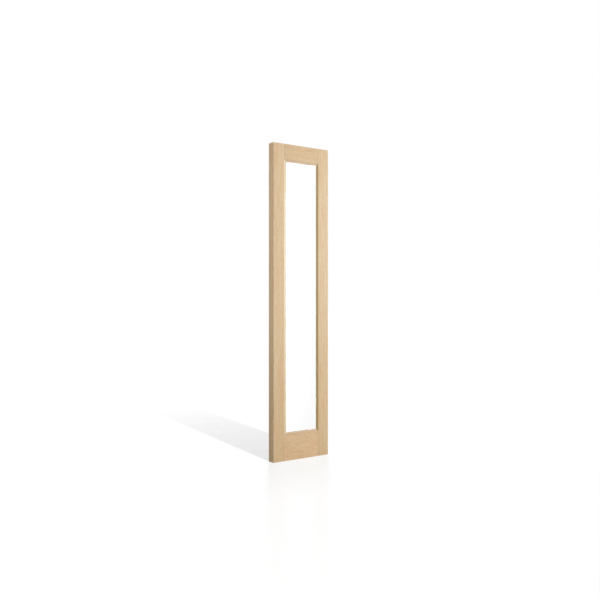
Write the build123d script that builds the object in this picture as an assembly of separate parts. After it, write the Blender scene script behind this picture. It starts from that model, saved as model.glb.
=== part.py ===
from build123d import *
import os

# A fixed glazed sidelight: a narrow stile-and-rail slab that holds one tall
# sealed glass unit. Sizes are millimetres. X runs across the front, to the
# right of someone who faces it. Y runs through the slab, with the front face
# towards -Y. Z is up. The origin is the middle of the slab's foot.

# Slab
slab_width = 457.2
slab_height = 2133.6
slab_thickness = 57.15
arris_radius = 1.5  # rounding of the stiles' outer long edges
end_chamfer = 0.8  # easing round the slab's top and foot
joint_chamfer = 0.7  # V where a rail's shoulder meets a stile, shallower than the quirk

# Flat faces of the members, from the outer edge to the root of the moulding
stile_face = 86.0
top_rail_face = 102.5
bottom_rail_face = 174.0

# Moulding round the glass, from its root to the sight line. The rebate behind it
# is as wide, so that a rail's shoulder is one plane from front to back.
moulding_width = 16.5
quirk_depth = 0.8  # square step at the root
slope_drop = 2.6  # fall of the sloping face
nose_depth = 1.2  # blunt nose below the slope
nose_radius = 0.6

# Beads that close the rebate at the back
bead_clearance = 0.2  # between a bead and the floor of the rebate
bead_flat = 2.0  # level strip between a bead's outer edge and its moulding

# Sealed glass unit
pane_thickness = 4.8
cavity_width = 15.8
unit_clearance = 3.0  # from the unit's edge to the floor of the rebate
seal_depth = 5.0  # outer sealant, in from the edge of the panes
spacer_height = 6.5
spacer_wall = 0.6
spacer_shoulder = 2.0  # slanted corners on the spacer's sealant side
key_fit = 0.15  # round a corner key's leg inside a spacer bar
key_leg = 25.0
pane_arris = 0.5  # ground edges of the panes

# Glazing tape each side of the unit
tape_thickness = 1.0
tape_setback = 0.5  # from the sight line
tape_margin = 3.0  # from the edge of the panes

# Packers that carry and centre the unit
setting_block_length = 60.0
side_packer_length = 40.0
side_packer_inset = 150.0  # from the unit's top or foot to a packer's middle

# Dowels that join the rails to the stiles
dowel_diameter = 16.0
dowel_cover = 23.0  # wood left past a dowel's hole in a stile
dowel_chamfer = 1.5
dowel_fit = 0.1  # glue line round a dowel
dowel_end_gap = 2.0  # glue pocket past each end
flute_count = 8
flute_depth = 0.7
flute_width = 1.2
top_dowels = 2
bottom_dowels = 3
dowel_outer_margin = 30.0  # from the slab's end to the nearest dowel
dowel_inner_margin = 28.0  # from the root of the moulding to the nearest dowel

# Worked out from the sizes above
half_width = slab_width / 2
half_thickness = slab_thickness / 2
slope_foot = quirk_depth + slope_drop
lip_thickness = slope_foot + nose_depth
unit_thickness = 2 * pane_thickness + cavity_width
unit_front = -half_thickness + lip_thickness + tape_thickness
unit_back = unit_front + unit_thickness
bead_front = unit_back + tape_thickness

# The moulding's root, the rebate's floor and the rails' shoulders are in line
root_x = half_width - stile_face
root_low = bottom_rail_face
root_high = slab_height - top_rail_face
sight_x = root_x - moulding_width
sight_low = root_low + moulding_width
sight_high = root_high - moulding_width
unit_x = root_x - unit_clearance
unit_low = root_low + unit_clearance
unit_high = root_high - unit_clearance
unit_offset = moulding_width - unit_clearance  # from the sight line to the unit's edge
bead_width = moulding_width - bead_clearance

dowel_length = 2 * (stile_face - dowel_cover - dowel_end_gap)


def closed_outline(points):
    """A flat face from the corners of its outline."""
    return make_face(Polyline(*points, close=True))


def rounded_at(section, x, y):
    """The section with the moulding's nose rounded, which is its corner at x, y."""
    nose = section.vertices().filter_by(lambda v: abs(v.X - x) + abs(v.Y - y) < 1e-6)
    return fillet(nose, nose_radius)


def member_section(face):
    """A stile's or rail's section: X in from the outer edge, Y back from the front face."""
    sight = face + moulding_width
    outline = closed_outline(
        [
            (0, 0),
            (face, 0),
            (face, quirk_depth),
            (sight, slope_foot),
            (sight, lip_thickness),
            (face, lip_thickness),
            (face, slab_thickness),
            (0, slab_thickness),
        ]
    )
    return rounded_at(outline, sight, slope_foot)


def on_a_face(edge):
    """Whether an edge lies in the front or the back face of the slab."""
    return abs(abs(edge.center().Y) - half_thickness) < 1e-6


def make_left_stile():
    """The left stile: the moulded section run the whole height, with eased outer edges."""
    base = Plane((-half_width, -half_thickness, 0), x_dir=(1, 0, 0), z_dir=(0, 0, 1))
    stile = extrude(base * member_section(stile_face), slab_height)
    outer = stile.edges().filter_by(Axis.Z).group_by(Axis.X)[0]
    stile = fillet(outer, arris_radius)

    def eased(edge):
        """The ends' edges on the front, back and outer side, and the arcs that join them."""
        middle = edge.center()
        at_end = min(abs(middle.Z), abs(middle.Z - slab_height)) < 1e-6
        outside = middle.X < -half_width + arris_radius
        return at_end and (outside or on_a_face(edge))

    return chamfer(stile.edges().filter_by(eased), end_chamfer)


def make_rail(face, stiles):
    """A bottom rail, coped at both ends over the stiles' moulding."""
    base = Plane((root_x, -half_thickness, 0), x_dir=(0, 0, 1), z_dir=(-1, 0, 0))
    rail = extrude(base * member_section(face), 2 * root_x)
    long_edges = rail.edges().filter_by(Axis.X)
    foot = long_edges.filter_by(lambda e: on_a_face(e) and abs(e.center().Z) < 1e-6)
    rail = chamfer(foot, end_chamfer)
    for stile in stiles:
        rail = rail - stile
    upright = rail.edges().filter_by(Axis.Z)
    return chamfer(upright.filter_by(on_a_face), joint_chamfer)


def turned_over(solid):
    """The same piece at the head of the slab in place of its foot."""
    return Pos(0, 0, slab_height) * mirror(solid, Plane.XY)


def dowel_heights(face, count):
    """Heights of the dowels in a rail of that face, evenly spread between its margins."""
    span = face - dowel_outer_margin - dowel_inner_margin
    return [dowel_outer_margin + span * i / (count - 1) for i in range(count)]


def round_bar(radius, length, end_bevel=0.0):
    """A bar along X about the origin, with bevelled ends if asked."""
    bar = Rot(0, 90, 0) * Cylinder(radius, length)
    if end_bevel:
        bar = chamfer(bar.edges().filter_by(GeomType.CIRCLE), end_bevel)
    return bar


def fluted_dowel():
    """One dowel along X, with straight glue flutes and bevelled ends."""
    radius = dowel_diameter / 2
    flutes = PolarLocations(radius, flute_count) * Rectangle(2 * flute_depth, flute_width)
    rod = extrude(Plane.YZ * (Circle(radius) - flutes), dowel_length / 2, both=True)
    return rod & round_bar(radius, dowel_length, dowel_chamfer)


def dowel_places(side, heights):
    """Where the dowels of one joint stand: centred on the rail's shoulder line."""
    return [Pos(side * root_x, 0, z) for z in heights]


def bored(solid, places):
    """The solid with a glue-fit hole for each dowel."""
    hole = round_bar(dowel_diameter / 2 + dowel_fit, dowel_length + 2 * dowel_end_gap)
    for place in places:
        solid = solid - place * hole
    return solid


def frame_members():
    """Stiles, coped rails and the dowels of their four joints, by node name."""
    left = make_left_stile()
    right = mirror(left, Plane.YZ)
    bottom = make_rail(bottom_rail_face, [left, right])
    top = turned_over(make_rail(top_rail_face, [left, right]))
    low = dowel_heights(bottom_rail_face, bottom_dowels)
    high = [slab_height - z for z in dowel_heights(top_rail_face, top_dowels)]
    dowel = fluted_dowel()
    nodes = {}
    for name, side, stile in (("left", -1, left), ("right", 1, right)):
        bottom_places = dowel_places(side, low)
        top_places = dowel_places(side, high)
        nodes[f"{name}_stile"] = bored(stile, bottom_places + top_places)
        nodes[f"bottom_{name}_dowels"] = Compound([p * dowel for p in bottom_places])
        nodes[f"top_{name}_dowels"] = Compound([p * dowel for p in top_places])
        bottom = bored(bottom, bottom_places)
        top = bored(top, top_places)
    nodes["bottom_rail"] = bottom
    nodes["top_rail"] = top
    return nodes


def box_between(low, high):
    """A box from its lowest corner to its highest."""
    size = [b - a for a, b in zip(low, high)]
    middle = [(a + b) / 2 for a, b in zip(low, high)]
    return Pos(*middle) * Box(*size)


outward = {"left": (-1, 0, 0), "right": (1, 0, 0), "bottom": (0, 0, -1), "top": (0, 0, 1)}


def edge_line(side, offset):
    """Middle (x, z) and half length of a side of the sight line's rectangle, grown by the offset."""
    x = sight_x + offset
    low = sight_low - offset
    high = sight_high + offset
    upright = outward[side][0]
    if upright:
        return upright * x, (low + high) / 2, (high - low) / 2
    return 0, high if side == "top" else low, x


def edge_bar(section, side, offset, front, overrun=0.0):
    """A bar along one side of the glass that runs past the corners by the overrun.

    The section's X is outwards from the grown sight line and its Y is back from the front.
    """
    x, z, half_length = edge_line(side, offset)
    out = Vector(*outward[side])
    plane = Plane((x, front, z), x_dir=out, z_dir=out.cross(Vector(0, 1, 0)))
    return extrude(plane * section, half_length + overrun, both=True)


def mitred_bar(section, side, offset, front, reach):
    """A bar along one side of the glass, cut at 45 degrees to meet its neighbours."""
    x, z, half_length = edge_line(side, offset)
    outer_half = half_length + reach
    plane = Plane((x, front, z), x_dir=outward[side], z_dir=(0, 1, 0))
    trapezium = closed_outline(
        [(0, -half_length), (reach, -outer_half), (reach, outer_half), (0, half_length)]
    )
    wedge = extrude(plane * trapezium, slab_thickness)
    return wedge & edge_bar(section, side, offset, front, overrun=reach)


def oblong(width, depth):
    """A rectangular section with one corner on its origin."""
    return Pos(width / 2, depth / 2) * Rectangle(width, depth)


def bead_section():
    """A glazing bead's section, with a moulding like the front's at its back."""
    depth = half_thickness - bead_front
    root = bead_width - bead_flat
    nose = depth - slope_foot
    outline = closed_outline(
        [
            (0, 0),
            (bead_width, 0),
            (bead_width, depth),
            (root, depth),
            (root, depth - quirk_depth),
            (0, nose),
        ]
    )
    return rounded_at(outline, 0, nose)


def glazing_beads():
    """Beads behind the unit, mitred at the corners and flush with the back of the slab."""
    section = bead_section()
    return {
        f"{side}_bead": mitred_bar(section, side, 0, bead_front, bead_width) for side in outward
    }


def glazing_tapes():
    """Strips in front of and behind the unit. The uprights run past the level ones."""
    width = unit_offset - tape_margin - tape_setback
    section = oblong(width, tape_thickness)
    nodes = {}
    for name, front in (("front", unit_front - tape_thickness), ("rear", unit_back)):
        for side in outward:
            overrun = width if outward[side][0] else 0
            tape = edge_bar(section, side, tape_setback, front, overrun)
            nodes[f"{name}_tape_{side}"] = tape
    return nodes


def pane(front):
    """One pane with ground edges."""
    low = (-unit_x, front, unit_low)
    high = (unit_x, front + pane_thickness, unit_high)
    sheet = box_between(low, high)
    return chamfer(sheet.edges(), pane_arris)


def spacer_outline():
    """The spacer's outer section, narrower towards the sealant."""
    shoulder = spacer_height - spacer_shoulder
    return closed_outline(
        [
            (0, 0),
            (shoulder, 0),
            (spacer_height, spacer_shoulder),
            (spacer_height, cavity_width - spacer_shoulder),
            (shoulder, cavity_width),
            (0, cavity_width),
        ]
    )


def shrunk(outline, amount):
    """An outline moved in by the same amount all round, with sharp corners."""
    return offset(outline, amount=-amount, kind=Kind.INTERSECTION)


def corner_key(outline, leg, upright, level, inset, front):
    """An elbow that fills one corner of the spacer, with a leg in each of its two bars."""
    elbow = edge_bar(outline, upright, inset, front, overrun=spacer_height)
    elbow = elbow & edge_bar(outline, level, inset, front, overrun=spacer_height)
    x = edge_line(upright, inset)[0]
    z = edge_line(level, inset)[1]
    near_corner = Pos(x, 0, z) * Box(2 * key_leg, slab_thickness, 2 * key_leg)
    for side in (upright, level):
        elbow = elbow + (edge_bar(leg, side, inset, front) & near_corner)
    return elbow


def glass_unit():
    """Two panes held apart by a keyed spacer, sealed round the edge."""
    inset = unit_offset - seal_depth - spacer_height
    front = unit_front + pane_thickness
    outline = spacer_outline()
    tube = outline - shrunk(outline, spacer_wall)
    leg = shrunk(outline, spacer_wall + key_fit)
    reach = spacer_height + seal_depth
    seal = oblong(reach, cavity_width) - outline
    nodes = {"outer_pane": pane(unit_front), "inner_pane": pane(front + cavity_width)}
    for side in outward:
        nodes[f"{side}_spacer"] = edge_bar(tube, side, inset, front)
        nodes[f"{side}_edge_seal"] = mitred_bar(seal, side, inset, front, reach)
    nodes["spacer_corner_keys"] = Compound(
        [
            corner_key(outline, leg, upright, level, inset, front)
            for upright in ("left", "right")
            for level in ("bottom", "top")
        ]
    )
    return nodes


def unit_packers():
    """Blocks in the rebate: two under the unit, and two more beside it on each side."""
    blocks = []
    for side in (-1, 1):
        middle = side * unit_x / 2
        low = (middle - setting_block_length / 2, unit_front, root_low)
        high = (middle + setting_block_length / 2, unit_back, unit_low)
        blocks.append(box_between(low, high))
    packers = []
    size = (unit_clearance, unit_thickness, side_packer_length)
    for side in (-1, 1):
        x = side * (unit_x + root_x) / 2
        for z in (unit_low + side_packer_inset, unit_high - side_packer_inset):
            packers.append(Pos(x, (unit_front + unit_back) / 2, z) * Box(*size))
    return {"setting_blocks": Compound(blocks), "side_packers": Compound(packers)}


def export_nodes(nodes):
    """One STEP file for each node."""
    os.makedirs("parts", exist_ok=True)
    for name, shape in nodes.items():
        export_step(shape, f"parts/{name}.step")


nodes = {}
for group in (frame_members, glazing_beads, glazing_tapes, glass_unit, unit_packers):
    nodes.update(group())
export_nodes(nodes)
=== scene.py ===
import bpy
import bmesh
import math
from mathutils import Matrix, Vector


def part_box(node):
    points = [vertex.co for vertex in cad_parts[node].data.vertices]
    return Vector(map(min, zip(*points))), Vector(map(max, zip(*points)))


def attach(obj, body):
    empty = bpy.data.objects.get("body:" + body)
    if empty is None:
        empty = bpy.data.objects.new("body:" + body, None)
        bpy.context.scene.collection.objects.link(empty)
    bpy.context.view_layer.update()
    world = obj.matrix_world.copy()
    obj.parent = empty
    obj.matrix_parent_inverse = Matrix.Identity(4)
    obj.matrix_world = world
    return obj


# A narrow wooden sidelight with one tall sealed unit of etched glass.
# The frame holds every piece at its real size, in metres. This script gives the
# pieces their finishes, adds the filled pin holes of the beads, and sets up a
# pale studio with the camera in front and to the left.

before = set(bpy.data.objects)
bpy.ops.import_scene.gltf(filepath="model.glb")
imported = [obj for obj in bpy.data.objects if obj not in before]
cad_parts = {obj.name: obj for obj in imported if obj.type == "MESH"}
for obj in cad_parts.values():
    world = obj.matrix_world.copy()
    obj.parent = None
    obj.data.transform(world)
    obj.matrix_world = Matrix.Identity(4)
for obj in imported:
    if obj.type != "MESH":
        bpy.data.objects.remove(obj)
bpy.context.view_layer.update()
print("frame loaded:", len(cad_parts), "pieces")


def placeOf(node):
    low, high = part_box(node)
    return Vector(low), Vector(high)


# Lines of the slab that several finishes need, read from the pieces themselves
railHigh = placeOf("bottom_rail")[1]
topRailLow, topRailHigh = placeOf("top_rail")
beadLow, beadHigh = placeOf("left_bead")
slabBack = railHigh.y
shoulder = railHigh.x
mouldWidth = shoulder - abs(placeOf("left_stile")[1].x)
bottomRoot = railHigh.z - mouldWidth  # roots of the rails' mouldings
topRoot = topRailLow.z + mouldWidth


# Camera: level, at chest height, turned to the right to face the slab's front
cameraPlan = {
    "place": (-2.7663, -3.9376, 1.0832),
    "turn": 35.168,  # degrees to the right
    "lens": 42.054,
    "film": 36.0,
    "farClip": 200,  # well past the floor's far edge
}


def makeCamera(plan):
    data = bpy.data.cameras.new("studioCamera")
    data.lens = plan["lens"]
    data.sensor_width = plan["film"]
    data.clip_end = plan["farClip"]
    data.dof.use_dof = False
    camera = bpy.data.objects.new("studioCamera", data)
    camera.location = plan["place"]
    camera.rotation_euler = (math.radians(90), 0, -math.radians(plan["turn"]))
    bpy.context.collection.objects.link(camera)
    bpy.context.scene.camera = camera


makeCamera(cameraPlan)
print("camera set")


# Shader sums are written as plain expressions: a Sock is one output of a node
class Sock:
    def __init__(self, graph, link):
        self.graph = graph
        self.link = link

    def sum(self, operation, *values):
        return self.graph.node("ShaderNodeMath", {"operation": operation}, dict(enumerate(values)))

    def __add__(self, other):
        return self.sum("ADD", self, other)

    def __radd__(self, other):
        return self.sum("ADD", other, self)

    def __sub__(self, other):
        return self.sum("SUBTRACT", self, other)

    def __rsub__(self, other):
        return self.sum("SUBTRACT", other, self)

    def __mul__(self, other):
        return self.sum("MULTIPLY", self, other)

    def __rmul__(self, other):
        return self.sum("MULTIPLY", other, self)

    def __truediv__(self, other):
        return self.sum("DIVIDE", self, other)

    def __rtruediv__(self, other):
        return self.sum("DIVIDE", other, self)

    def __pow__(self, other):
        return self.sum("POWER", self, other)

    def __abs__(self):
        return self.sum("ABSOLUTE", self)

    def fraction(self):
        return self.sum("FRACT", self)

    def atMost(self, other):
        return self.sum("MINIMUM", self, other)

    # 0 below the first value, 1 above the second, smooth between them
    def step(self, low, high):
        settings = {"interpolation_type": "SMOOTHSTEP", "clamp": True}
        return self.graph.node("ShaderNodeMapRange", settings, {"Value": self, 1: low, 2: high})


# One material and its nodes, or those of the world
class Graph:
    def __init__(self, name, owner=None):
        self.material = owner or bpy.data.materials.new(name)
        self.material.use_nodes = True
        self.tree = self.material.node_tree
        self.tree.nodes.clear()

    # Any node: its settings are set first, then its sockets get values or links
    def node(self, kind, settings=None, sockets=None, output=0):
        made = self.tree.nodes.new(kind)
        for key, value in (settings or {}).items():
            setattr(made, key, value)
        for key, value in (sockets or {}).items():
            if isinstance(value, Sock):
                self.tree.links.new(value.link, made.inputs[key])
            else:
                made.inputs[key].default_value = value
        return Sock(self, made.outputs[output]) if made.outputs else None

    def parts(self, vector):
        first = self.node("ShaderNodeSeparateXYZ", None, {0: vector})
        return [Sock(self, output) for output in first.link.node.outputs]

    def join(self, x, y, z):
        return self.node("ShaderNodeCombineXYZ", None, {0: x, 1: y, 2: z})

    # Smooth noise, stretched by a scale for each axis, from 0 to 1
    def noise(self, x, y, z, detail=2.0, rough=0.5):
        sockets = {"Vector": self.join(x, y, z), "Scale": 1.0}
        sockets.update({"Detail": detail, "Roughness": rough})
        return self.node("ShaderNodeTexNoise", {"noise_dimensions": "3D"}, sockets)

    def blend(self, share, first, second, mode="MIX"):
        settings = {"data_type": "RGBA", "blend_type": mode, "clamp_factor": True}
        return self.node("ShaderNodeMix", settings, {0: share, 6: first, 7: second}, output=2)

    def bump(self, height, strength, distance):
        return self.node(
            "ShaderNodeBump", None, {"Height": height, "Strength": strength, "Distance": distance}
        )

    def finish(self, **sockets):
        named = {key.replace("_", " "): value for key, value in sockets.items()}
        surface = self.node("ShaderNodeBsdfPrincipled", None, named)
        self.node("ShaderNodeOutputMaterial", None, {"Surface": surface})
        return self.material


def colour(red, green, blue):
    return (red, green, blue, 1.0)


# Straight-grained softwood. Lengths are metres. The heart of the tree lies well
# outside the board, so that the rings cross its face as straight lines.
woodLook = {
    "early": colour(0.447, 0.328, 0.180),
    "late": colour(0.382, 0.262, 0.135),
    "blush": colour(0.456, 0.301, 0.148),
    "pale": colour(0.485, 0.369, 0.214),
    "fleck": colour(0.33, 0.21, 0.1),
    "endTint": colour(0.78, 0.725, 0.67),
    "ring": 0.0026,  # mean width of a ring, and how far rings bunch up
    "crowding": 0.012,
    "ringCurve": 2.6,  # the higher, the narrower the dark end of each ring
    "heartAcross": 0.62,
    "heartDeep": 0.21,
    "waver": 0.020,  # slow and quick wander of the grain
    "ripple": 0.0016,
    "streakShare": 0.5,  # how strongly each of these shows
    "cloudShare": 0.45,
    "ringShare": 0.6,
    "fleckShare": 0.3,
    "fibreShare": 0.16,
    "index": 1.48,
    "roughness": 0.56,
    "smoother": 0.06,  # mouldings and beads, which are planed finer
    "relief": 0.00012,
}
# Upright boards run along z, level ones along x. Each has dashes and specks of its
# own tint, so many to a metre along the grain.
grainWays = {
    "z": {
        "dash": colour(0.95, 0.82, 0.70),
        "dashes": 5.0,
        "speck": colour(0.955, 0.91, 0.86),
        "specks": 36.0,
        "shade": 1.085,
    },
    "x": {
        "dash": colour(0.92, 0.83, 0.75),
        "dashes": 8.0,
        "speck": colour(0.925, 0.87, 0.81),
        "specks": 55.0,
        "shade": 1.105,
    },
}
# Where boards meet: painted shade, a painted highlight and a stain; how far each reaches and how
# much of its colour it has
jointLook = {
    # dark: colour of the painted shade at roots and shoulders, and of the stain
    "dark": colour(0.13, 0.075, 0.04),
    # pale: colour of the painted highlight beside the rails
    "pale": colour(0.62, 0.51, 0.35),
    "blur": 0.0002,  # of a moulding's root
    "rootShadeReach": 0.0016,  # painted shade along the root of a rail's moulding
    "rootShadeShare": 0.27,
    "grooveShadeReach": 0.0016,  # painted shade in the V at a rail's shoulder, and a stain beside it
    "grooveShadeShare": {"top_rail": 1.0, "bottom_rail": 0.36},
    "stainReach": 0.0045,
    "stainShare": 0.1,
    "highlightReach": 0.006,  # painted highlight along the left stile beside its rails
    "highlightBlur": 0.002,
    "highlightShare": {"top_rail": 0.5, "bottom_rail": 0.25},
}


# How far a point is past the root of the moulding, towards the glass
def pastRoot(node, x, z):
    if node.endswith("stile"):
        return shoulder - abs(x)
    return z - bottomRoot if node == "bottom_rail" else topRoot - z


def tinted(g, tone, share, shade):
    return g.blend(share, tone, g.blend(1.0, tone, shade, "MULTIPLY"))


# The tone of bare wood, and how much late wood, fibre and fleck there is in it
def bareGrain(g, way, run, side, deep):
    look = woodLook

    # Noise drawn out along the grain: so many waves to a metre across it and along it
    def drawn(fine, coarse, detail=2.0, rough=0.5):
        return g.noise(side * fine, deep * fine, run * coarse, detail, rough)

    waver = drawn(5.0, 1.1, 1.0) - 0.5
    ripple = drawn(22.0, 5.0, 1.0) - 0.5
    side = side + waver * look["waver"] + ripple * look["ripple"]
    fromHeart = ((side + look["heartAcross"]) ** 2.0 + (deep + look["heartDeep"]) ** 2.0) ** 0.5

    # Rings of uneven width, each paler at its start and darkest at its end. The bare
    # second value of a noise only keeps it apart from the others.
    crowding = g.noise(fromHeart * 42.0, 0.0, 0.0) - 0.5
    growth = (fromHeart + crowding * look["crowding"]) / look["ring"]
    strength = g.noise(fromHeart * 60.0, 3.7, run * 0.7).step(0.30, 0.72)
    late = growth.fraction() ** look["ringCurve"] * (0.35 + 0.65 * strength)

    # Broad streaks, short dashes along the grain, fine fibres and dark flecks
    streak = g.noise(fromHeart * 55.0, 9.1, run * 0.9, 3.0, 0.6).step(0.32, 0.68)
    cloud = drawn(9.0, 1.6).step(0.3, 0.7)
    dash = drawn(150.0, way["dashes"], 3.0, 0.65).step(0.40, 0.66)
    speck = drawn(210.0, way["specks"], 1.0).step(0.36, 0.66)
    fibre = drawn(1500.0, 16.0, 2.0, 0.6)
    fleck = drawn(520.0, 22.0, 1.0).step(0.68, 0.80)

    tone = g.blend(0.12 + streak * look["streakShare"], look["pale"], look["blush"])
    tone = g.blend(cloud * look["cloudShare"], tone, look["early"])
    tone = g.blend(late * look["ringShare"], tone, look["late"])
    tone = g.blend(fleck * look["fleckShare"], tone, look["fleck"])
    tone = tinted(g, tone, dash, way["dash"])
    tone = tinted(g, tone, speck, way["speck"])
    shade = way["shade"] + (fibre - 0.5) * look["fibreShare"]
    return g.blend(1.0, tone, shade, "MULTIPLY"), late, fibre, fleck


# A painted highlight along the left stile's edge, beside the rails alone
def addPaintedHighlight(g, tone, beside, z):
    look = jointLook
    blur, share = look["highlightBlur"], look["highlightShare"]
    atTop = z.step(topRoot - blur, topRoot + blur) * share["top_rail"]
    atBottom = z.step(bottomRoot + blur, bottomRoot - blur) * share["bottom_rail"]
    return g.blend(beside * (atTop + atBottom), tone, look["pale"])


# Painted shade of a rail, along the root of its moulding and in the V at its shoulders, and a
# stain beside the V
def addRailShadeAndStain(g, node, tone, inward, x):
    look = jointLook
    fromShoulder = shoulder - abs(x)
    rootShade = 1.0 - (abs(inward) / look["rootShadeReach"]).atMost(1.0)
    grooveShade = fromShoulder.step(look["grooveShadeReach"] * 1.1, look["grooveShadeReach"] * 0.8)
    stain = fromShoulder.step(look["stainReach"], 0.0)
    tone = g.blend(rootShade * look["rootShadeShare"], tone, look["dark"])
    share = grooveShade * look["grooveShadeShare"][node] + stain * look["stainShare"]
    return g.blend(share, tone, look["dark"])


def woodMaterial(node, board):
    look = woodLook
    g = Graph(node + "_wood")
    x, y, z = g.parts(g.node("ShaderNodeTexCoord", output="Object"))
    run, across, endAxis = (z, x, 2) if board["along"] == "z" else (x, z, 0)
    shift = board["shift"]
    tone, late, fibre, fleck = bareGrain(
        g, grainWays[board["along"]], run + shift[0], across + shift[1], y + shift[2]
    )
    tone = g.blend(1.0, tone, board["tint"], "MULTIPLY")

    # Sawn ends drink in more finish and show darker
    facing = g.parts(g.node("ShaderNodeTexCoord", output="Normal"))
    endFace = abs(facing[endAxis]).step(0.8, 0.97)
    tone = tinted(g, tone, endFace, look["endTint"])

    # Past its moulding's root a board gets painted light: a painted highlight on the left stile,
    # painted shade on the right stile and the rails. A bead is darker and yellower all over
    moulded = 1.0
    if not node.endswith("bead"):
        inward = pastRoot(node, x, z)
        moulded = inward.step(-jointLook["blur"], jointLook["blur"])
    # Painted light on the mouldings: highlight on the left stile, shade on the right stile and
    # rails
    tone = tinted(g, tone, moulded, board["mould"])
    # Painted highlight on the left stile beside its rails
    if node == "left_stile":
        reach = jointLook["highlightReach"]
        tone = addPaintedHighlight(g, tone, inward.step(-reach, -reach * 0.5) - moulded, z)
    # Painted shade at a rail's moulding root and shoulders, and a stain
    if node.endswith("rail"):
        tone = addRailShadeAndStain(g, node, tone, inward, x)

    height = late * 0.6 + (fibre - 0.5) * 0.5 - fleck * 0.8
    rough = look["roughness"] + (fibre - 0.5) * 0.14 - late * 0.06 + endFace * 0.15
    return g.finish(
        Base_Color=tone,
        Roughness=rough - moulded * look["smoother"],
        IOR=look["index"],
        Normal=g.bump(height, 0.35, look["relief"]),
    )


def setFinish(node, material):
    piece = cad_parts[node]
    piece.data.materials.clear()
    piece.data.materials.append(material)


# Each board is cut from its own place in the tree: its shift is along the grain, across it and
# into it. It has a tint of its own. Its moulding gets a second colour that is painted light: a
# painted highlight on the left stile's, painted shade on the right stile's and the rails'. A bead
# takes that second colour, darker and yellower, all over.
plain = colour(1, 1, 1)
# Beads are darker and yellower all over
beadTint = colour(0.94, 0.95, 0.90)
boards = {
    "left_stile": {
        "along": "z",
        "shift": (0.0, 0.31, 0.04),
        "tint": colour(0.955, 0.955, 0.95),
        # Painted highlight: the moulding paler and cooler, standing in for sheen
        "mould": colour(0.935, 1.04, 1.03),
    },
    "right_stile": {
        "along": "z",
        "shift": (4.3, 0.12, 0.09),
        "tint": colour(0.905, 0.915, 0.895),
        # Painted shade: the moulding much darker and more olive
        "mould": colour(0.62, 0.61, 0.385),
    },
    "bottom_rail": {
        "along": "x",
        "shift": (1.7, 0.27, 0.06),
        "tint": colour(1.01, 0.98, 0.985),
        # Painted shade: the moulding darker
        "mould": colour(0.79, 0.775, 0.69),
    },
    "top_rail": {
        "along": "x",
        "shift": (7.9, -1.62, 0.02),
        "tint": colour(0.915, 0.895, 0.87),
        # Painted shade: the moulding darker
        "mould": colour(0.805, 0.78, 0.665),
    },
    "left_bead": {"along": "z", "shift": (11.0, 0.22, 0.13), "tint": plain, "mould": beadTint},
    "right_bead": {"along": "z", "shift": (15.5, 0.05, 0.17), "tint": plain, "mould": beadTint},
    "bottom_bead": {"along": "x", "shift": (19.2, 0.33, 0.12), "tint": plain, "mould": beadTint},
    "top_bead": {"along": "x", "shift": (23.1, -1.71, 0.15), "tint": plain, "mould": beadTint},
}
for node, board in boards.items():
    setFinish(node, woodMaterial(node, board))
print("wood finished")


# Dowels: paler and plainer hardwood, with fine pores along their length
dowelLook = {
    "base": colour(0.64, 0.5, 0.34),
    "pore": colour(0.5, 0.36, 0.22),
    "cloud": colour(0.56, 0.42, 0.27),
    "roughness": 0.6,
    "relief": 0.0001,
}


def dowelMaterial():
    look = dowelLook
    g = Graph("dowelWood")
    x, y, z = g.parts(g.node("ShaderNodeTexCoord", output="Object"))
    pores = g.noise(x * 20.0, y * 900.0, z * 900.0)
    cloud = g.noise(x * 4.0, y * 60.0, z * 60.0)
    tone = g.blend(pores.step(0.45, 0.75), look["base"], look["pore"])
    return g.finish(
        Base_Color=g.blend(cloud * 0.4, tone, look["cloud"]),
        Roughness=look["roughness"] + (pores - 0.5) * 0.2,
        Normal=g.bump(pores, 0.3, look["relief"]),
    )


# Etched glass: clear body, with a fine satin grain on its face and a slow drift
glassLook = {
    "base": colour(0.965, 0.968, 0.966),
    "cool": colour(0.94, 0.952, 0.95),
    "fine": 900.0,  # grains to a metre
    "roughness": 0.42,
    "grain": 0.07,  # what grain and drift add to the roughness
    "drift": 0.05,
    "through": 0.2,
    "index": 1.5,
    "relief": 0.00005,
}


def glassMaterial():
    look = glassLook
    g = Graph("etchedGlass")
    x, y, z = g.parts(g.node("ShaderNodeTexCoord", output="Object"))
    grain = g.noise(x * look["fine"], y * look["fine"], z * look["fine"])
    drift = g.noise(x * 5.0, y * 5.0, z * 2.0)
    rough = look["roughness"] + (grain - 0.5) * look["grain"] + (drift - 0.5) * look["drift"]
    return g.finish(
        Base_Color=g.blend(drift.step(0.3, 0.7) * 0.5, look["base"], look["cool"]),
        Roughness=rough,
        IOR=look["index"],
        Transmission_Weight=look["through"],
        Normal=g.bump(grain, 0.12, look["relief"]),
    )


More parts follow.
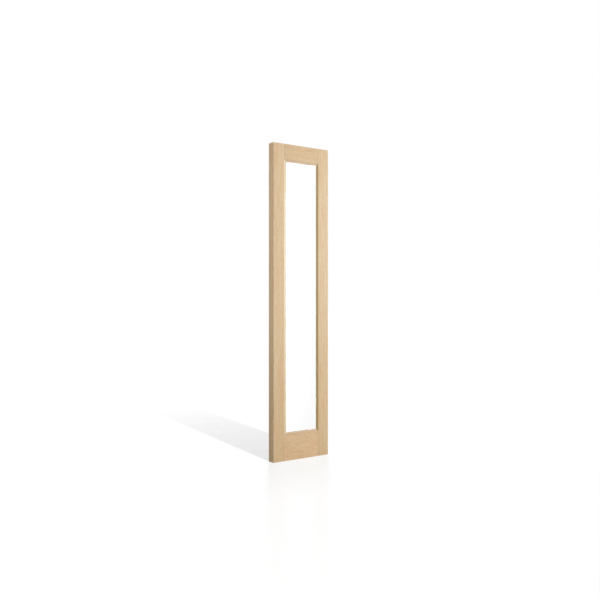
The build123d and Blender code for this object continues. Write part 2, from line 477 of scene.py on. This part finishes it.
# Small goods that hide in the slab or nearly do, and the filler of the pin holes.
# fine: specks to a metre. drawn: how much of that is left along each axis.
goodsLooks = {
    "glazingTape": {
        "base": colour(0.9, 0.9, 0.89),
        "dark": colour(0.8, 0.8, 0.79),
        "fine": 1800.0,
        "roughness": 0.7,
        "relief": 0.0001,
    },
    "edgeSeal": {
        "base": colour(0.03, 0.03, 0.032),
        "dark": colour(0.015, 0.015, 0.016),
        "fine": 300.0,
        "roughness": 0.45,
        "relief": 0.0002,
    },
    "spacerMetal": {
        "base": colour(0.7, 0.71, 0.72),
        "dark": colour(0.58, 0.59, 0.6),
        "fine": 700.0,
        "drawn": (0.05, 1, 0.05),
        "roughness": 0.34,
        "relief": 0.00004,
        "metallic": 1.0,
    },
    "keyPlastic": {
        "base": colour(0.06, 0.06, 0.065),
        "dark": colour(0.03, 0.03, 0.035),
        "fine": 1200.0,
        "roughness": 0.5,
        "relief": 0.00006,
    },
    "packerRubber": {
        "base": colour(0.025, 0.025, 0.025),
        "dark": colour(0.012, 0.012, 0.012),
        "fine": 900.0,
        "roughness": 0.7,
        "relief": 0.0001,
    },
    "pinFiller": {
        "base": colour(0.37, 0.24, 0.13),
        "dark": colour(0.3, 0.19, 0.1),
        "fine": 1500.0,
        "roughness": 0.65,
        "relief": 0.00005,
    },
}
sides = ("left", "right", "bottom", "top")
madeOf = {
    "glazingTape": [row + side for row in ("front_tape_", "rear_tape_") for side in sides],
    "edgeSeal": [side + "_edge_seal" for side in sides],
    "spacerMetal": [side + "_spacer" for side in sides],
    "keyPlastic": ["spacer_corner_keys"],
    "packerRubber": ["setting_blocks", "side_packers"],
}


def speckledMaterial(name):
    look = goodsLooks[name]
    g = Graph(name)
    x, y, z = g.parts(g.node("ShaderNodeTexCoord", output="Object"))
    fineX, fineY, fineZ = (look["fine"] * share for share in look.get("drawn", (1, 1, 1)))
    speck = g.noise(x * fineX, y * fineY, z * fineZ, 3.0)
    patch = g.noise(x * 14.0, y * 14.0, z * 14.0)
    tone = g.blend(speck.step(0.35, 0.75), look["base"], look["dark"])
    return g.finish(
        Base_Color=g.blend(patch * 0.25, tone, look["dark"]),
        Roughness=look["roughness"] + (speck - 0.5) * 0.16,
        Metallic=look.get("metallic", 0.0),
        Normal=g.bump(speck, 0.3, look["relief"]),
    )


def finishGoods():
    glass = glassMaterial()
    for pane in ("outer_pane", "inner_pane"):
        setFinish(pane, glass)
    for name, nodes in madeOf.items():
        material = speckledMaterial(name)
        for node in nodes:
            setFinish(node, material)
    dowels = dowelMaterial()
    for joint in ("bottom_left", "bottom_right", "top_left", "top_right"):
        setFinish(joint + "_dowels", dowels)


finishGoods()
print("glass, tape and hidden pieces finished")


# Filled pin holes along the beads at the back: low caps, a hair proud of the wood
pinPlan = {
    "radius": 0.0013,
    "footShare": 0.9,  # of that radius, at the sunk foot and at the proud crown
    "crownShare": 0.72,
    "proud": 0.00006,
    "sunk": 0.0008,
    "edges": 16,
    "spacing": 0.19,  # most between two pins
    "endGap": 0.045,
    "faceShare": 0.5,  # across the bead's sloping face, from the sight line
    "level": 0.002,  # level strip along a bead's outer edge
    "step": 0.0008,  # fall from the slab's back to that strip, then across the slope
    "drop": 0.0026,
}


def addPin(mesh, spot, normal):
    plan = pinPlan
    turn = Vector((0, 0, 1)).rotation_difference(normal).to_matrix().to_4x4()
    foot, crown = (-plan["sunk"], plan["footShare"]), (plan["proud"], plan["crownShare"])
    rings = []
    for height, share in (foot, (0.0, 1.0), crown):
        ring = []
        for i in range(plan["edges"]):
            angle = 2 * math.pi * i / plan["edges"]
            point = Vector((math.cos(angle), math.sin(angle), 0)) * plan["radius"] * share
            point.z = height
            ring.append(mesh.verts.new(Matrix.Translation(spot) @ turn @ point))
        rings.append(ring)
    for lower, upper in zip(rings, rings[1:]):
        for i in range(plan["edges"]):
            j = (i + 1) % plan["edges"]
            mesh.faces.new((lower[i], lower[j], upper[j], upper[i]))
    mesh.faces.new(rings[-1])
    mesh.faces.new(list(reversed(rings[0])))


def pinSpots(low, high):
    room = high - low - 2 * pinPlan["endGap"]
    count = max(1, math.ceil(room / pinPlan["spacing"]))
    return [low + pinPlan["endGap"] + room * i / count for i in range(count + 1)]


def makePins():
    plan = pinPlan
    mesh = bmesh.new()
    width = beadHigh.x - beadLow.x - plan["level"]
    reach = plan["faceShare"] * width
    fall = plan["step"] + plan["drop"] * (1 - plan["faceShare"])
    tilt = math.atan2(plan["drop"], width)
    sightX = -beadHigh.x
    lowest, highest = placeOf("bottom_bead")[1].z, placeOf("top_bead")[0].z
    depth = slabBack - fall
    inward, back = math.sin(tilt), math.cos(tilt)
    for side in (-1, 1):
        normal = Vector((-side * inward, back, 0))
        for z in pinSpots(lowest, highest):
            addPin(mesh, Vector((side * (sightX + reach), depth, z)), normal)
    for x in pinSpots(-sightX, sightX):
        addPin(mesh, Vector((x, depth, lowest - reach)), Vector((0, back, inward)))
        addPin(mesh, Vector((x, depth, highest + reach)), Vector((0, back, -inward)))
    data = bpy.data.meshes.new("beadPinFills")
    mesh.to_mesh(data)
    mesh.free()
    pins = bpy.data.objects.new("beadPinFills", data)
    bpy.context.collection.objects.link(pins)
    data.materials.append(speckledMaterial("pinFiller"))
    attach(pins, "root")
    return pins


pins = makePins()
print("pin holes filled")


# Studio: a pale floor under a white surround. Two fans of narrow suns, which light
# the floor alone, give its shadow, crisp at the sides and fading with distance. Box
# lights, which light the slab alone, model it.
studioPlan = {
    "floorSize": 160.0,
    "floorTone": colour(0.15, 0.15, 0.15),
    "floorGlow": 0.6725,  # tops the floor up to white, for the eye and for mirrors
    "floorRoughness": 0.8,
    "floorGloss": 0.24,  # roughness of the thin coat that mirrors the slab, and its index
    "floorIndex": 1.084,
    "surround": 1.0,  # white that is seen, mirrored or shows through the glass
    "fill": 0.15,  # what it adds to shading
    "aim": (0.0, 0.0, 1.15),
}
# heading: where the suns of a fan stand. reach: the longest shadow. strength: what
# they add to a white floor, all together.
shadowFans = {
    "frontFan": {"heading": (-0.09, -1.0), "count": 10, "reach": 2.4, "strength": 1.65},
    "rearFan": {"heading": (0.576, 0.8175), "count": 5, "reach": 1.0, "strength": 0.4},
}
fanAngle = 1.2  # degrees across one sun
sunDistance = 5
# The timber's key stands in front and to the right, and a cool light at the left
white = (1, 1, 1)
cool = (0.95, 1.06, 1.27)
timberLights = {
    "keyBox": {"place": (6.1, -4.95, 2.0), "size": (1.9, 3.1), "power": 968.0, "tone": white},
    "leftBox": {"place": (-2.5, -0.2, 1.8), "size": (1, 1), "power": 38.2, "tone": cool},
    "backBox": {"place": (1.8, 3.6, 2.2), "size": (2, 2), "power": 200.0, "tone": white},
    "topBox": {"place": (0.2, 0.1, 4.8), "size": (1.5, 1.5), "power": 60.0, "tone": white},
}
# The glass is lit from in front and behind, so that its frame throws no shade on it
glassLights = {
    "frontGlow": {"place": (-3.0, -4.2, 1.4), "size": (2, 2), "power": 352.0, "tone": white},
    "backGlow": {"place": (2.4, 3.6, 1.5), "size": (2, 2), "power": 210.0, "tone": white},
}


# Shares out between what shading feels and what is seen or mirrored
def seenOrFelt(g, seen, felt):
    shading = g.node("ShaderNodeLightPath", output="Is Diffuse Ray")
    return g.blend(shading, colour(seen, seen, seen), colour(felt, felt, felt))


def makeFloor(plan):
    half = plan["floorSize"] / 2
    data = bpy.data.meshes.new("studioFloor")
    corners = [(-half, -half, 0), (half, -half, 0), (half, half, 0), (-half, half, 0)]
    data.from_pydata(corners, [], [(0, 1, 2, 3)])
    floor = bpy.data.objects.new("studioFloor", data)
    bpy.context.collection.objects.link(floor)
    g = Graph("studioFloor")
    x, y = g.parts(g.node("ShaderNodeTexCoord", output="Object"))[:2]
    drift = g.noise(x * 0.4, y * 0.4, 0.0, detail=1.0)
    data.materials.append(
        g.finish(
            Base_Color=plan["floorTone"],
            Roughness=plan["floorRoughness"] + drift * 0.1,
            IOR=1.0,  # its coat alone mirrors
            Coat_Weight=1.0,
            Coat_Roughness=plan["floorGloss"],
            Coat_IOR=plan["floorIndex"],
            Emission_Color=seenOrFelt(g, 1.0, 0.0),
            Emission_Strength=plan["floorGlow"],
        )
    )
    return floor


def addLight(name, kind, place, direction):
    data = bpy.data.lights.new(name, kind)
    light = bpy.data.objects.new(name, data)
    light.location = place
    light.rotation_euler = direction.to_track_quat("Z", "Y").to_euler()
    bpy.context.collection.objects.link(light)
    return light


def receivers(name, pieces):
    group = bpy.data.collections.new(name)
    for piece in pieces:
        group.objects.link(piece)
    return group


def makeShadowFans(fans, aim, floor):
    litByFans = receivers("litByFans", [floor])
    for name, fan in fans.items():
        for i in range(fan["count"]):
            reach = fan["reach"] * (i + 0.5) / fan["count"]
            x, y = fan["heading"]
            direction = Vector((x * reach, y * reach, topRailHigh.z)).normalized()
            light = addLight(name + str(i), "SUN", aim + direction * sunDistance, direction)
            light.data.energy = math.pi * fan["strength"] / fan["count"] / direction.z
            light.data.angle = math.radians(fanAngle)
            light.light_linking.receiver_collection = litByFans


def makeBoxLights(name, boxes, aim, pieces):
    lit = receivers(name, pieces)
    for key, box in boxes.items():
        place = Vector(box["place"])
        light = addLight(key, "AREA", place, place - aim)
        light.data.shape = "RECTANGLE"
        light.data.size, light.data.size_y = box["size"]
        light.data.energy = box["power"]
        light.data.color = box["tone"]
        light.light_linking.receiver_collection = lit


def makeSurround(plan):
    world = bpy.data.worlds.new("studioWorld")
    bpy.context.scene.world = world
    g = Graph("studioWorld", world)
    tone = seenOrFelt(g, plan["surround"], plan["fill"])
    sky = g.node("ShaderNodeBackground", None, {"Color": tone})
    g.node("ShaderNodeOutputWorld", None, {"Surface": sky})


studioAim = Vector(studioPlan["aim"])
floor = makeFloor(studioPlan)
makeSurround(studioPlan)
makeShadowFans(shadowFans, studioAim, floor)
glass = [piece for node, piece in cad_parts.items() if "pane" in node or "tape" in node]
timber = [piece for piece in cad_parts.values() if piece not in glass]
makeBoxLights("litByBoxes", timberLights, studioAim, timber + [pins])
makeBoxLights("litByGlow", glassLights, studioAim, glass)
bpy.context.scene.view_settings.view_transform = "Standard"
print("studio lit")
